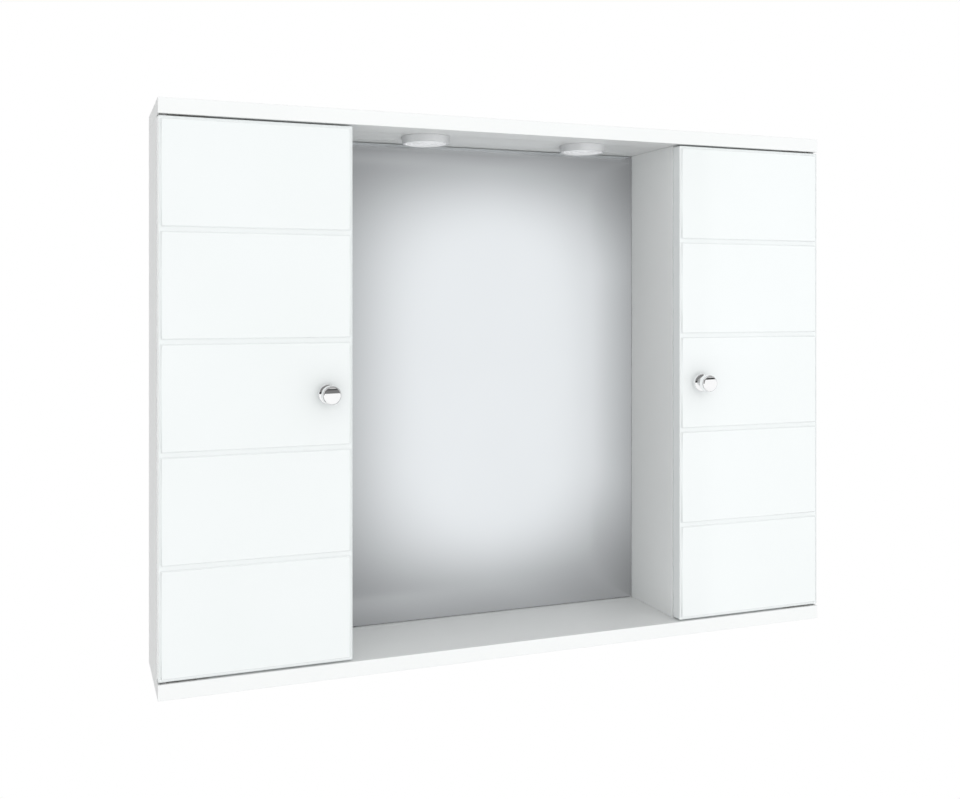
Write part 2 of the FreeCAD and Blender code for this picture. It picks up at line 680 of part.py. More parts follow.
pair(cut("strike_plate", strike_blank, [strike_seats]), "strike_plate")
pair(copies("strike_screws", wood_screw, strike_spots), "strike_screws")

# Light driver under the top board of the right bay

driver_x = f"({BAY_CENTRE} - driver_length / 2)"
driver_y = "-(driver_setback + driver_width / 2)"
driver_z = f"({CASE_TOP} - driver_height)"
driver_ear_z = f"({CASE_TOP} - driver_wall)"
driver_reach = "(driver_length / 2 + driver_ear / 2)"
driver_spots = [(f"{BAY_CENTRE} {step} {driver_reach}", "-driver_setback", driver_ear_z, UPRIGHT)
                for step in ("-", "+")]
driver_seats = copies("driver_seats", wood_seat, driver_spots)
driver_shell = cut("driver_shell", box("driver_block", ("driver_length", "driver_width", "driver_height"),
                                       (driver_x, driver_y, driver_z)), [
    box("driver_room", ("driver_length - 2 * driver_wall", "driver_width - 2 * driver_wall",
                        "driver_height - driver_wall"),
        (f"{driver_x} + driver_wall", f"{driver_y} + driver_wall", driver_z)),
    rod("driver_leads", "driver_lead_hole", "driver_length",
        (driver_x, "-driver_setback", f"{driver_z} + driver_lead_hole"), TO_RIGHT)])
driver_ears = box("driver_ears", ("driver_length + 2 * driver_ear", "driver_width", "driver_wall"),
                  (f"{driver_x} - driver_ear", driver_y, driver_ear_z))
circuit_z = f"({driver_ear_z} - driver_post_height - circuit_thickness)"
driver_posts = [rod(f"driver_post_{index}", "driver_post", "driver_post_height",
                    (f"{BAY_CENTRE} {step} (driver_length / 2 - driver_post_inset)", "-driver_setback",
                     f"{driver_ear_z} - driver_post_height")) for index, step in enumerate(("-", "+"))]
driver_blank = fuse("driver_blank", [driver_shell, driver_ears] + driver_posts)
node(cut("driver_case", driver_blank, [driver_seats]), "driver_case")
node(box("driver_lid", ("driver_length", "driver_width", "driver_wall"),
         (driver_x, driver_y, f"{driver_z} - driver_wall")), "driver_lid")
circuit_rim = "(driver_wall + circuit_gap)"
circuit = box("circuit", (f"driver_length - 2 * {circuit_rim}", f"driver_width - 2 * {circuit_rim}",
                          "circuit_thickness"),
              (f"{driver_x} + {circuit_rim}", f"{driver_y} + {circuit_rim}", circuit_z))
coil_corner = (f"{BAY_CENTRE} - coil_length / 2", "-driver_setback - coil_width / 2",
               f"{circuit_z} - coil_height")
coil = box("coil", ("coil_length", "coil_width", "coil_height"), coil_corner)
capacitor_end = (f"{BAY_CENTRE} + capacitor_offset", "-driver_setback", f"{circuit_z} - capacitor_height")
capacitor = rod("capacitor", "capacitor_diameter", "capacitor_height", capacitor_end)
node(fuse("driver_board", [circuit, coil, capacitor]), "driver_board")
node(copies("driver_screws", wood_screw, driver_spots), "driver_screws")

# Boards and panels with the cuts for everything that sits in them

for label, z in (("top_panel", CASE_TOP), ("bottom_panel", "-cabinet_height / 2")):
    board = box(label + "_board", ("cabinet_width", "cabinet_depth", "board_thickness"),
                ("-cabinet_width / 2", "-cabinet_depth", z))
    cuts = [back_recess, all_joint_seats, case_hinge_seats, back_seats]
    if label == "top_panel":
        cuts += [light_cuts, driver_seats]
    node(cut(label, board, cuts), label)
side_height = f"2 * {CASE_TOP}"
side_board = box("side_board", ("board_thickness", CASE_DEPTH, side_height),
                 ("-cabinet_width / 2", f"-{CASE_DEPTH}", f"-{CASE_TOP}"))
side_cuts = [back_recess, joint_seats, rail_seats, pin_seats, back_seats]
pair(cut("side_panel", side_board, side_cuts), "side_panel")
partition_size = ("board_thickness", f"{CASE_DEPTH} - back_thickness", side_height)
partition_board = box("partition_board", partition_size,
                      (f"-{PARTITION_SIDE}", f"-{CASE_DEPTH}", f"-{CASE_TOP}"))
partition_cuts = [joint_seats, rail_seats, pin_seats, catch_seats, back_seats]
pair(cut("partition", partition_board, partition_cuts), "partition")
rail_board = box("rail_board", (BAY_WIDTH, "rail_thickness", "rail_height"),
                 (f"-{CASE_SIDE}", "-(back_thickness + rail_thickness)", f"{CASE_TOP} - rail_height"))
pair(cut("hanging_rail", rail_board, [rail_seats, wall_hole]), "hanging_rail")
node(both_sides("dowels", group("left_dowels", [
    both_ends("board_dowels", copies("upper_dowels", dowel, dowel_spots)),
    copies("rail_dowels", dowel, rail_dowel_spots)])), "dowels")
left_cams = both_ends("left_cams", copies("upper_cams", cam, cam_spots))
node(both_sides("cam_locks", left_cams), "cam_locks")
left_bolts = both_ends("left_bolts", copies("upper_bolts", cam_bolt, bolt_spots))
node(both_sides("cam_bolts", left_bolts), "cam_bolts")

# Mirror on strips of foam tape

mirror_height = f"(2 * {CASE_TOP} - 2 * mirror_border)"
node(box("mirror", ("niche_width - 2 * mirror_border", "mirror_thickness", mirror_height),
         (f"-{NICHE_SIDE} + mirror_border", "-(back_thickness + tape_thickness + mirror_thickness)",
          f"-{mirror_height} / 2")), "mirror")
tape_height = f"(2 * {CASE_TOP} - 2 * tape_margin)"
tape_front = "-(back_thickness + tape_thickness)"
tapes = [box(f"tape_{index}", ("tape_width", "tape_thickness", tape_height),
             (f"{share} * (niche_width / 2 - tape_margin) - tape_width / 2", tape_front,
              f"-{tape_height} / 2")) for index, share in enumerate((-1, 0, 1))]
node(group("mirror_tape", tapes), "mirror_tape")

# Hinge pieces on the case side

pair(both_ends("case_leaves", case_leaf), "case_leaves")
pair(both_ends("hinge_pins", pivot_pin), "hinge_pins")
node(both_sides("hinge_washers", both_ends("left_washers", washer)), "hinge_washers")
node(both_sides("case_leaf_screws", both_ends("left_case_screws", copies(
    "case_screw_set", wood_screw, case_leaf_spots))), "case_leaf_screws")
bumper = rod("bumper", "bumper_diameter", "door_rear_gap - bumper_gap",
             (f"-{PARTITION_CENTRE}", f"-{CASE_DEPTH}", f"{DOOR_TOP} - bumper_inset"), TO_FRONT)
node(both_sides("door_bumpers", both_ends("left_bumpers", bumper)), "door_bumpers")

# Knob and the screw that holds it from inside the door

knob_blank = turned("knob_blank", [
    ("0", "0"), ("knob_base / 2", "0"), ("knob_base / 2", "knob_base_thickness"),
    ("knob_waist / 2", "knob_waist_start"), ("knob_waist / 2", "knob_waist_end"),
    ("knob_head / 2", "knob_head_start"), ("knob_head / 2", "knob_head_end"),
    ("knob_tip / 2", "knob_length"), ("0", "knob_length")])
doc.recompute()
above_base = SIZES["knob_base_thickness"] / 2
knob_rims = [f"Edge{index}" for index, edge in enumerate(knob_blank.Shape.Edges, 1)
             if isinstance(edge.Curve, Part.Circle) and edge.CenterOfMass.z > above_base]
knob_form = knob_blank.Tip
knob_fillet = knob_blank.newObject("PartDesign::Fillet", "knob_fillet")
knob_fillet.Base = (knob_form, knob_rims)
bind(knob_fillet, Radius="knob_round")
knob_blank.Tip = knob_fillet
knob_bore = rod("knob_bore", "knob_thread + 2 * fit", "knob_thread_depth", ("0", "0", "0"))
knob_turned = cut("knob_turned", knob_blank, [knob_bore])
knob_screw_length = "(door_thickness + knob_thread_depth - knob_screw_end_gap)"
knob_screw_blank = turned("knob_screw_blank", [
    ("0", "0"), ("knob_screw_head / 2", "0"), ("knob_screw_head / 2", "knob_screw_head_height"),
    ("knob_thread / 2", "knob_screw_head_height"),
    ("knob_thread / 2", f"knob_screw_head_height + {knob_screw_length}"),
    ("0", f"knob_screw_head_height + {knob_screw_length}")])
knob_slot_size = ("knob_screw_head", "knob_screw_slot", "knob_screw_head_height / 2")
knob_screw_slot = box("knob_screw_slot", knob_slot_size,
                      ("-knob_screw_head / 2", "-knob_screw_slot / 2", "0"))
knob_screw = cut("knob_screw_turned", knob_screw_blank, [knob_screw_slot])
pair(copies("knob", knob_turned, [(f"-{KNOB_X}", "-cabinet_depth", "0", TO_FRONT)]), "knob")
pair(copies("knob_screw", knob_screw, [
    (f"-{KNOB_X}", f"-{DOOR_BACK} + knob_screw_head_height", "0", TO_FRONT)]), "knob_screw")
knob_hole = rod("knob_hole", "knob_thread + 4 * fit", "door_thickness",
                (f"-{KNOB_X}", f"-{DOOR_BACK}", "0"), TO_FRONT)

# Door: a slab with eased edges and five raised fields on its front

door_body = doc.addObject("PartDesign::Body", "door_slab")
slab_outline = rectangle(door_body, "slab_outline", "XZ_Plane", ("0", "0"), (DOOR_WIDTH, DOOR_HEIGHT))
slab = pad(door_body, "slab", slab_outline, "door_thickness - tile_relief")
doc.recompute()
slab_fillet = door_body.newObject("PartDesign::Fillet", "slab_edges")
slab_fillet.Base = (slab, [f"Edge{index}" for index in range(1, len(slab.Shape.Edges) + 1)])
bind(slab_fillet, Radius="door_edge_radius")
tile_pitch = f"({DOOR_HEIGHT} / tile_count)"
tile_corner = (f"{DOOR_WIDTH} - tile_margin", f"{tile_pitch} - tile_margin")
tile_outline = rectangle(door_body, "tile_outline", "XZ_Plane", ("tile_margin", "tile_margin"), tile_corner,
                         "door_thickness - tile_relief")
tile = pad(door_body, "tile", tile_outline, "tile_relief")
bind(tile, TaperAngle="-tile_slope")
tiles = door_body.newObject("PartDesign::LinearPattern", "tiles")
tiles.Originals = [tile]
tiles.Direction = (plane(door_body, "Z_Axis"), [""])
bind(tiles, Length=f"{DOOR_HEIGHT} - {tile_pitch}", Occurrences="tile_count")
door_body.Tip = tiles
place(door_body, "-cabinet_width / 2 + door_side_inset", f"-{DOOR_BACK}", f"-{DOOR_TOP}")
pair(cut("door", door_body, [door_hinge_seats, strike_seats, knob_hole]), "door")
pair(both_ends("door_leaves", door_leaf), "door_leaves")
pair(both_ends("door_leaf_screws", copies("door_screw_set", wood_screw, door_leaf_spots)), "door_leaf_screws")

# Everything is worked out, tested and written

doc.recompute()
failed = [item.Name for item in doc.Objects if "Invalid" in item.State or "Error" in item.State]
failed += [item.Label for item in nodes if item.Shape.isNull() or not item.Shape.isValid()]
if failed:
    raise RuntimeError("not built: " + ", ".join(failed))
os.makedirs("parts", exist_ok=True)
for item in nodes:
    item.Shape.exportStep(f"parts/{item.Label}.step")
    print(f"{item.Label}: {len(item.Shape.Solids)} solids, {item.Shape.Volume / 1000:.2f} cm3")
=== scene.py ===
import json
import math

import bmesh
import bpy
from mathutils import Matrix, Vector


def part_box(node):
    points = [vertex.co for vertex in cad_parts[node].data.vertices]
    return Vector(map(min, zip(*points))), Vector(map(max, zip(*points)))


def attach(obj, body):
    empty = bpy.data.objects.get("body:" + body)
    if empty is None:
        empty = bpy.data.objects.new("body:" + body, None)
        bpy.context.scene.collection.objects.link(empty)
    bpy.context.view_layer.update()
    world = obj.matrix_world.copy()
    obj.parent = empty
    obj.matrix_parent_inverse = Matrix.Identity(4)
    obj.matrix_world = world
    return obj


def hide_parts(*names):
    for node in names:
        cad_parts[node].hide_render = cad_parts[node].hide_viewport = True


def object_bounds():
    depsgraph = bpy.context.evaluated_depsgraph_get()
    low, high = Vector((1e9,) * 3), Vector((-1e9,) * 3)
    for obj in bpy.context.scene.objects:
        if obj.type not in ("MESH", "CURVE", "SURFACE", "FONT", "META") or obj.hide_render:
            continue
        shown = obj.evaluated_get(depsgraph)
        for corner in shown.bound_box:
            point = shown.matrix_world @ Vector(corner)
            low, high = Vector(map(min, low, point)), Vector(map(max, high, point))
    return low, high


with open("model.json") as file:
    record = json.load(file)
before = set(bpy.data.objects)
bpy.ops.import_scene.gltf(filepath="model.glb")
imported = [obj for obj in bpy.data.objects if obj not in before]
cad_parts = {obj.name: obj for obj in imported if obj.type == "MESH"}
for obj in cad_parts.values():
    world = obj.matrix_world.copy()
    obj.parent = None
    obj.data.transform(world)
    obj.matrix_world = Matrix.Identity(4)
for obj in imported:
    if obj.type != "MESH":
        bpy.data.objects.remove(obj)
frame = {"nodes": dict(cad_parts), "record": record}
cadLow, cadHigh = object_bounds()
record = frame["record"]
nodes = frame["nodes"]
bodyOf = {node: body for body, members in record["behaviour"]["bodies"].items() for node in members}
slotOf = {part["node"]: part["material_slot"] for part in record["subparts"]}
sides = ("left", "right")
millimetre = 0.001
white = (1.0, 1.0, 1.0, 1.0)
print("frame loaded:", len(nodes), "nodes")

# finishes: dark and light are the two tones of the mottle, patch and grain its sizes per metre,
# relief the bump's depth, rough the range of the roughness, stretch a direction for brushing or wood

finishLooks = {
    "boardFoil": {"dark": (0.872, 0.890, 0.886), "light": (0.888, 0.903, 0.900), "patch": 9.0,
                  "grain": 1400.0, "relief": 0.00002, "rough": (0.34, 0.42), "sockets": {}},
    "doorLacquer": {"dark": (0.862, 0.896, 0.894), "light": (0.880, 0.912, 0.914), "patch": 5.0,
                    "grain": 700.0, "relief": 0.000008, "rough": (0.16, 0.22),
                    "sockets": {"Coat Weight": 0.3, "Coat Roughness": 0.06}},
    "backHardboard": {"dark": (0.73, 0.72, 0.70), "light": (0.78, 0.77, 0.75), "patch": 60.0,
                      "grain": 900.0, "relief": 0.00005, "rough": (0.55, 0.7), "sockets": {}},
    "mirrorSilver": {"dark": (0.787, 0.816, 0.838), "light": (0.802, 0.831, 0.853), "patch": 7.0,
                     "grain": 300.0, "relief": 0.0, "rough": (0.16, 0.18),
                     "sockets": {"Metallic": 1.0}},
    "shelfGlass": {"dark": (0.74, 0.92, 0.86), "light": (0.78, 0.94, 0.89), "patch": 12.0,
                   "grain": 200.0, "relief": 0.0, "rough": (0.01, 0.03),
                   "sockets": {"Transmission Weight": 0.72, "IOR": 1.5}},
    "knobChrome": {"dark": (0.93, 0.935, 0.94), "light": (0.96, 0.963, 0.965), "patch": 90.0,
                   "grain": 600.0, "relief": 0.0, "rough": (0.0, 0.003), "sockets": {"Metallic": 1.0}},
    "zincSteel": {"dark": (0.58, 0.59, 0.60), "light": (0.70, 0.71, 0.72), "patch": 400.0,
                  "grain": 3000.0, "relief": 0.00001, "rough": (0.25, 0.42), "sockets": {"Metallic": 1.0}},
    "hingeNickel": {"dark": (0.80, 0.80, 0.79), "light": (0.88, 0.88, 0.87), "patch": 300.0,
                    "grain": 2600.0, "relief": 0.00001, "rough": (0.40, 0.55),
                    "stretch": (0.05, 1.0, 1.0), "sockets": {"Metallic": 0.4}},
    "beechDowel": {"dark": (0.50, 0.35, 0.20), "light": (0.68, 0.52, 0.34), "patch": 260.0,
                   "grain": 1600.0, "relief": 0.00006, "rough": (0.55, 0.7), "stretch": (1.0, 1.0, 0.08),
                   "sockets": {}},
    "whiteNylon": {"dark": (0.80, 0.80, 0.78), "light": (0.84, 0.84, 0.82), "patch": 120.0,
                   "grain": 1800.0, "relief": 0.00002, "rough": (0.38, 0.5), "sockets": {}},
    "foamTape": {"dark": (0.70, 0.70, 0.68), "light": (0.80, 0.80, 0.78), "patch": 900.0,
                 "grain": 1500.0, "relief": 0.0001, "rough": (0.8, 0.95), "sockets": {}},
    "clearRubber": {"dark": (0.76, 0.78, 0.78), "light": (0.84, 0.86, 0.86), "patch": 300.0,
                    "grain": 900.0, "relief": 0.00001, "rough": (0.25, 0.35),
                    "sockets": {"Transmission Weight": 0.6, "IOR": 1.45}},
    "ferriteBlack": {"dark": (0.03, 0.03, 0.032), "light": (0.07, 0.07, 0.075), "patch": 500.0,
                     "grain": 2500.0, "relief": 0.00004, "rough": (0.5, 0.7), "sockets": {}},
    "satinSilver": {"dark": (0.66, 0.675, 0.685), "light": (0.72, 0.73, 0.74), "patch": 240.0,
                    "grain": 2200.0, "relief": 0.000006, "rough": (0.30, 0.40),
                    "stretch": (1.0, 1.0, 6.0), "sockets": {"Metallic": 0.15}},
    "lightPlastic": {"dark": (0.80, 0.80, 0.80), "light": (0.85, 0.85, 0.85), "patch": 120.0,
                     "grain": 1500.0, "relief": 0.00002, "rough": (0.4, 0.5), "sockets": {}},
    # the lens glass glows faintly white: painted light that brightens the lens, while the lamp itself is not
    # lit
    "lensGlass": {"dark": (0.90, 0.92, 0.94), "light": (0.95, 0.96, 0.97), "patch": 150.0,
                  "grain": 1200.0, "relief": 0.00003, "rough": (0.10, 0.22),
                  "sockets": {"Transmission Weight": 0.25, "IOR": 1.5, "Emission Color": white,
                              "Emission Strength": 0.13}},
    "lampBoard": {"dark": (0.82, 0.82, 0.78), "light": (0.90, 0.90, 0.86), "patch": 200.0,
                  "grain": 900.0, "relief": 0.00001, "rough": (0.35, 0.5), "sockets": {}},
    "driverShell": {"dark": (0.76, 0.76, 0.76), "light": (0.82, 0.82, 0.82), "patch": 80.0,
                    "grain": 2200.0, "relief": 0.00005, "rough": (0.45, 0.6), "sockets": {}},
    "circuitGreen": {"dark": (0.02, 0.10, 0.05), "light": (0.05, 0.20, 0.10), "patch": 350.0,
                     "grain": 1200.0, "relief": 0.00003, "rough": (0.3, 0.45), "sockets": {}},
    "grommetRubber": {"dark": (0.025, 0.025, 0.025), "light": (0.05, 0.05, 0.05), "patch": 250.0,
                      "grain": 1500.0, "relief": 0.00004, "rough": (0.55, 0.75), "sockets": {}},
    # painted shade: a dark grey given to the hinge washers so that they read like the shade in the gaps over
    # and under the doors
    "gapShadeNylon": {"dark": (0.24, 0.24, 0.242), "light": (0.30, 0.30, 0.302), "patch": 120.0,
                  "grain": 1800.0, "relief": 0.00002, "rough": (0.45, 0.6), "sockets": {}},
}
# the hinge washers take that dark grey as painted shade in the door gaps
finishOfNode = {"hinge_washers": "gapShadeNylon"}  # the gaps over and under the doors stay dark to their ends
finishOfSlot = {
    "white_board": "boardFoil", "white_hardboard": "backHardboard", "door_lacquer": "doorLacquer",
    "mirror_glass": "mirrorSilver", "foam_tape": "foamTape", "shelf_glass": "shelfGlass",
    "knob_chrome": "knobChrome", "zinc_steel": "zincSteel", "hinge_steel": "hingeNickel",
    "beech": "beechDowel", "nylon": "whiteNylon", "clear_rubber": "clearRubber",
    "magnet_black": "ferriteBlack", "light_silver": "satinSilver", "light_plastic": "lightPlastic",
    "lens_glass": "lensGlass", "lamp_board": "lampBoard", "driver_plastic": "driverShell",
    "circuit": "circuitGreen", "grommet_rubber": "grommetRubber",
}
noiseDetail = 4.0
toneEnds = (0.3, 0.7)  # where on the mottle the dark tone ends and the light one begins


def noiseAt(tree, place, scale):
    noise = tree.nodes.new("ShaderNodeTexNoise")
    noise.inputs["Scale"].default_value = scale
    noise.inputs["Detail"].default_value = noiseDetail
    tree.links.new(place.outputs["Vector"], noise.inputs["Vector"])
    return noise.outputs["Fac"]


def makeFinish(name, look):
    material = bpy.data.materials.new(name)
    material.use_nodes = True
    tree = material.node_tree
    shader = next(item for item in tree.nodes if item.type == "BSDF_PRINCIPLED")
    for socket, value in look["sockets"].items():
        shader.inputs[socket].default_value = value
    coordinates = tree.nodes.new("ShaderNodeTexCoord")
    place = tree.nodes.new("ShaderNodeMapping")
    place.inputs["Scale"].default_value = look.get("stretch", (1.0, 1.0, 1.0))
    tree.links.new(coordinates.outputs["Object"], place.inputs["Vector"])
    mottle = noiseAt(tree, place, look["patch"])
    tones = tree.nodes.new("ShaderNodeValToRGB")
    for element, tone, end in zip(tones.color_ramp.elements, (look["dark"], look["light"]), toneEnds):
        element.color = (*tone, 1.0)
        element.position = end
    tree.links.new(mottle, tones.inputs["Fac"])
    tree.links.new(tones.outputs["Color"], shader.inputs["Base Color"])
    grain = noiseAt(tree, place, look["grain"])
    gloss = tree.nodes.new("ShaderNodeMapRange")
    gloss.inputs["To Min"].default_value, gloss.inputs["To Max"].default_value = look["rough"]
    tree.links.new(grain, gloss.inputs["Value"])
    tree.links.new(gloss.outputs["Result"], shader.inputs["Roughness"])
    if look["relief"]:
        bump = tree.nodes.new("ShaderNodeBump")
        bump.inputs["Distance"].default_value = look["relief"]
        tree.links.new(grain, bump.inputs["Height"])
        tree.links.new(bump.outputs["Normal"], shader.inputs["Normal"])
    return material


finishes = {name: makeFinish(name, look) for name, look in finishLooks.items()}


def finishFor(node):
    return finishes[finishOfNode.get(node, finishOfSlot[slotOf[node]])]


for node, item in nodes.items():
    item.data.materials.clear()
    item.data.materials.append(finishFor(node))
print("finishes made:", len(finishes))

# how a new piece takes a node's place

smoothAngle = math.radians(32)
mergeDistance = 0.002 * millimetre


def standFor(mesh, node, weighted=True):
    for face in mesh.polygons:
        face.use_smooth = True
    mesh.set_sharp_from_angle(angle=smoothAngle)
    mesh.materials.clear()
    mesh.materials.append(finishFor(node))
    piece = bpy.data.objects.new(node + "_shown", mesh)
    bpy.context.scene.collection.objects.link(piece)
    if weighted:
        normals = piece.modifiers.new("weighted", "WEIGHTED_NORMAL")
        normals.keep_sharp = True
    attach(piece, bodyOf[node])
    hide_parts(node)


def mergedCopy(node):
    shape = bmesh.new()
    shape.from_mesh(nodes[node].data)
    bmesh.ops.remove_doubles(shape, verts=shape.verts, dist=mergeDistance)
    return shape


# boards, doors, glass and plates: the CAD shape with its long arrises eased; lengths in millimetres,
# shorter edges than shortest stay sharp, and a door's groove floors, relief behind its face, go deeper

flatAngle = math.radians(0.5)
arrisAngle = math.radians(30)
grooveTolerance = 0.05 * millimetre
roundProfile = 0.5
easedLooks = {
    "board": {"radius": 0.6, "steps": 3, "shortest": 12.0},
    "door": {"radius": 0.25, "steps": 2, "shortest": 20.0, "deeper": 0.9, "relief": 1.0},
    "glass": {"radius": 0.8, "steps": 3, "shortest": 12.0},
    "mirror": {"radius": 0.2, "steps": 2, "shortest": 12.0},
    "plate": {"radius": 0.25, "steps": 2, "shortest": 3.0},
    "moulding": {"radius": 0.7, "steps": 3, "shortest": 8.0},
}
easedNodes = {
    "board": ["top_panel", "bottom_panel"],
    "door": [],
    "glass": [],
    "mirror": ["mirror"],
    "plate": [],
    "moulding": ["driver_lid"],
}
for side in sides:
    easedNodes["board"] += [f"{side}_side_panel", f"{side}_partition", f"{side}_hanging_rail"]
    easedNodes["door"].append(f"{side}_door")
    easedNodes["glass"] += [f"{side}_upper_shelf", f"{side}_lower_shelf"]
    easedNodes["plate"] += [f"{side}_case_leaves", f"{side}_door_leaves", f"{side}_strike_plate"]
    easedNodes["moulding"].append(f"{side}_catch_body")


def easeEdges(node, look):
    shape = mergedCopy(node)
    if "deeper" in look:
        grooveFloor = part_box(node)[0].y + look["relief"] * millimetre
        for vert in shape.verts:
            if abs(vert.co.y - grooveFloor) < grooveTolerance:
                vert.co.y += look["deeper"] * millimetre
    bmesh.ops.dissolve_limit(shape, angle_limit=flatAngle, verts=shape.verts, edges=shape.edges)
    arrises = [edge for edge in shape.edges if edge.is_manifold
               and edge.calc_face_angle() > arrisAngle
               and edge.calc_length() > look["shortest"] * millimetre]
    bmesh.ops.bevel(shape, geom=arrises, offset=look["radius"] * millimetre, segments=look["steps"],
                    profile=roundProfile, affect="EDGES", clamp_overlap=False)
    bmesh.ops.triangulate(shape, faces=shape.faces, quad_method="BEAUTY", ngon_method="BEAUTY")
    bmesh.ops.dissolve_degenerate(shape, dist=mergeDistance, edges=shape.edges)
    mesh = bpy.data.meshes.new(node + "_shown")
    shape.to_mesh(mesh)
    shape.free()
    standFor(mesh, node)


for kind, members in easedNodes.items():
    for node in members:
        easeEdges(node, easedLooks[kind])
print("boards, doors, glass and plates eased")

# turned pieces: a profile of radius and height in millimetres, its corners rounded, spun about Z

turnedSteps = 96
cornerShare = 0.45  # the most of a profile's side that one rounded corner takes
onAxis = 1e-6


def roundCorners(profile, radius, closed, steps=5):
    points = [Vector(point) for point in profile]
    rounded = []
    for index, corner in enumerate(points):
        if not closed and index in (0, len(points) - 1):
            rounded.append(corner)
            continue
        before = points[index - 1] - corner
        after = points[(index + 1) % len(points)] - corner
        reach = min(radius, cornerShare * before.length, cornerShare * after.length)
        first = corner + before.normalized() * reach
        last = corner + after.normalized() * reach
        for step in range(steps + 1):
            share = step / steps
            rounded.append(first * (1 - share) ** 2 + corner * 2 * share * (1 - share) + last * share ** 2)
    return rounded


def turnedMesh(name, profile, radius, place, closed=False):
    shape = bmesh.new()
    rings = []
    for point in roundCorners(profile, radius, closed):
        if point.x < onAxis:
            rings.append([shape.verts.new((0, 0, point.y * millimetre))] * turnedSteps)
            continue
        angles = [math.tau * index / turnedSteps for index in range(turnedSteps)]
        rings.append([shape.verts.new((point.x * millimetre * math.cos(angle),
                                       point.x * millimetre * math.sin(angle),
                                       point.y * millimetre)) for angle in angles])
    pairs = list(zip(rings, rings[1:]))
    if closed:
        pairs.append((rings[-1], rings[0]))
    for lower, upper in pairs:
        for index in range(turnedSteps):
            following = (index + 1) % turnedSteps
            corners = []
            for vert in (lower[index], lower[following], upper[following], upper[index]):
                if vert not in corners:
                    corners.append(vert)
            if len(corners) > 2:
                shape.faces.new(corners)
    bmesh.ops.recalc_face_normals(shape, faces=shape.faces)
    shape.transform(place)
    mesh = bpy.data.meshes.new(name)
    shape.to_mesh(mesh)
    shape.free()
    return mesh


# the place of a piece whose axis points to the front, its foot on the rear face of a node's box
def facingFront(low, high):
    middle = (low + high) / 2
    return Matrix.Translation((middle.x, high.y, middle.z)) @ Matrix.Rotation(math.radians(90), 4, "X")


# knobs: a thick base, a waist and a bevelled head with a faintly domed front

knobLook = {"base": 10.5, "baseEdge": 5.0, "waist": 6.5, "waistLow": 6.8, "waistHigh": 11.5, "head": 10.0,
            "headLow": 13.2, "headHigh": 20.5, "tip": 8.8, "dome": 0.3, "domeSteps": 8, "length": 22.0,
            "round": 0.7, "bore": 2.05, "boreDepth": 12.0}


def knobProfile(look):
    profile = [(0, look["boreDepth"]), (look["bore"], look["boreDepth"]), (look["bore"], 0),
               (look["base"], 0), (look["base"], look["baseEdge"]), (look["waist"], look["waistLow"]),
               (look["waist"], look["waistHigh"]), (look["head"], look["headLow"]),
               (look["head"], look["headHigh"])]
    for step in range(look["domeSteps"] + 1):
        share = 1 - step / look["domeSteps"]
        profile.append((look["tip"] * share, look["length"] - look["dome"] * share ** 2))
    return profile


for side in sides:
    place = facingFront(*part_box(side + "_knob"))
    knob = turnedMesh(side + "_knob_shown", knobProfile(knobLook), knobLook["round"], place)
    standFor(knob, side + "_knob")
print("knobs turned")

# lights: a tapered ring and a ribbed lens, drawn from the lower rim upwards

ringLook = {"opening": 24.0, "rim": 26.5, "root": 28.0, "drop": 8.0, "seat": 25.05, "lip": 1.8, "round": 0.8}
lensLook = {"inset": 0.4, "edge": 23.6, "flare": 0.2, "seat": 24.8, "lip": 1.8, "top": 4.3, "ribs": 4,
            "ribDepth": 0.8, "round": 0.3}


def ringProfile(look):
    return [(look["opening"], 0.0), (look["rim"], 0.0), (look["root"], look["drop"]),
            (look["seat"], look["drop"]), (look["seat"], look["lip"]), (look["opening"], look["lip"])]


def lensProfile(look):
    profile = [(0.0, look["inset"])]
    pitch = look["edge"] / (look["ribs"] + 0.5)
    for rib in range(look["ribs"]):
        profile.append(((rib + 0.5) * pitch, look["inset"]))
        profile.append(((rib + 1.0) * pitch, look["inset"] + look["ribDepth"]))
    profile += [(look["edge"], look["inset"]), (look["edge"] + look["flare"], look["lip"]),
                (look["seat"], look["lip"]), (look["seat"], look["top"]), (0.0, look["top"])]
    return profile


for side in sides:
    low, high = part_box(side + "_light_bezel")
    place = Matrix.Translation(((low.x + high.x) / 2, (low.y + high.y) / 2, low.z))
    ring = turnedMesh(side + "_ring", ringProfile(ringLook), ringLook["round"], place, closed=True)
    lens = turnedMesh(side + "_lens", lensProfile(lensLook), lensLook["round"], place)
    standFor(ring, side + "_light_bezel")
    standFor(lens, side + "_light_lens")
print("lights turned")

# cable grommet: a soft collar with a rolled flange

grommetLook = {"bore": 4.0, "neck": 7.0, "wall": 3.0, "flange": 9.0, "length": 4.5, "round": 0.6}


def grommetProfile(look):
    return [(look["bore"], 0.0), (look["neck"], 0.0), (look["neck"], look["wall"]),
            (look["flange"], look["wall"]), (look["flange"], look["length"]), (look["bore"], look["length"])]


place = facingFront(*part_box("cable_grommet"))
grommet = turnedMesh("grommet", grommetProfile(grommetLook), grommetLook["round"], place, closed=True)
standFor(grommet, "cable_grommet")
print("grommet turned")

# countersunk screws with a crossed recess, set on points by nodes

screwLook = {"Head Radius": 2.8, "Head Depth": 1.7, "Shank Radius": 1.5, "Length": 12.0, "Recess Span": 3.2,
             "Recess Width": 0.7, "Recess Depth": 1.1}
smallScrewLook = {"Head Radius": 2.2, "Head Depth": 1.1, "Shank Radius": 1.25, "Length": 7.0,
                  "Recess Span": 2.6, "Recess Width": 0.6, "Recess Depth": 0.8}
screwFacets = {"head": 32, "shank": 20}
pointShare = 0.4  # of the shank's radius, left at the point
screwNodes = {"back_panel_screws": screwLook, "case_leaf_screws": screwLook, "catch_screws": screwLook,
              "driver_screws": screwLook, "light_screws": smallScrewLook}
for side in sides:
    screwNodes[side + "_door_leaf_screws"] = screwLook
    screwNodes[side + "_strike_screws"] = screwLook


def feed(tree, socket, value):
    if isinstance(value, (int, float)):
        socket.default_value = value
    else:
        tree.links.new(value, socket)


